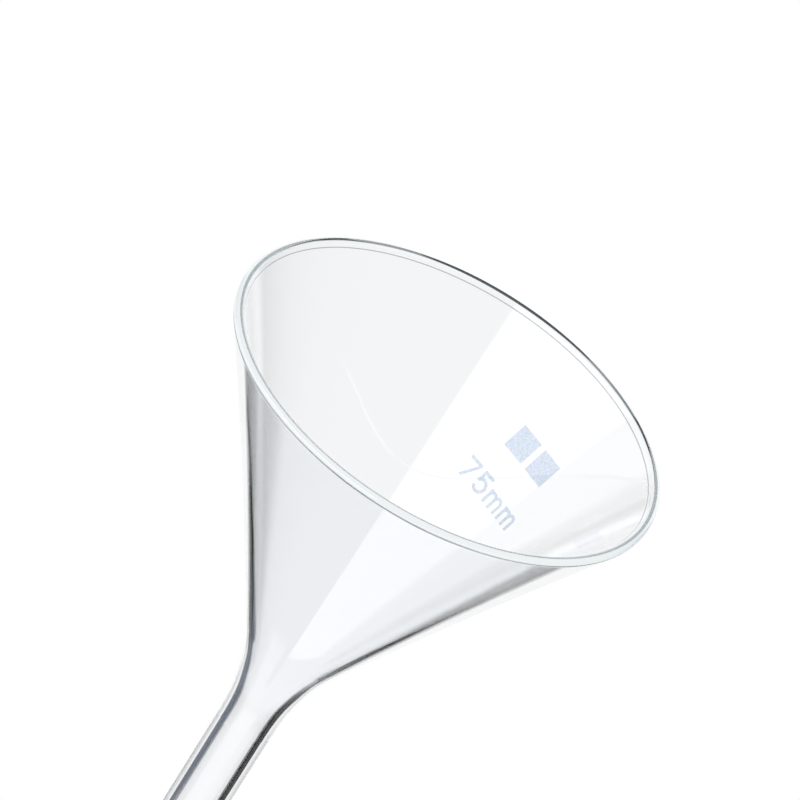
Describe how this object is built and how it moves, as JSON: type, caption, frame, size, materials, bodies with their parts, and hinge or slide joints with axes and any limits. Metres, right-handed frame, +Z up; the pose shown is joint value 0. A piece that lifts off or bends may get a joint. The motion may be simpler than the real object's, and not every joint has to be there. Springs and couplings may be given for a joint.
{
  "type": "laboratory funnel",
  "caption": "Clear glass conical laboratory funnel with a smooth flared neck, a short stem with an obliquely ground tip and a pale fired size mark.",
  "frame": {"origin": "on the funnel's axis, at the seal where the straight stem meets the neck of the bowl", "axes": "+Z up the axis to the mouth of the bowl; the long side of the ground tip is on +Y, and the size mark is 55 degrees round from +X towards +Y"},
  "size_m": [0.075, 0.075, 0.1468],
  "materials": {
    "glass": "glossy",
    "enamel": "satin"
  },
  "bodies": {
    "root": {"bowl": "glass", "stem": "glass", "mark_figure_7": "enamel", "mark_figure_5": "enamel", "mark_letter_m_1": "enamel", "mark_letter_m_2": "enamel", "mark_tile_1": "enamel", "mark_tile_2": "enamel"}
  },
  "joints": []
}
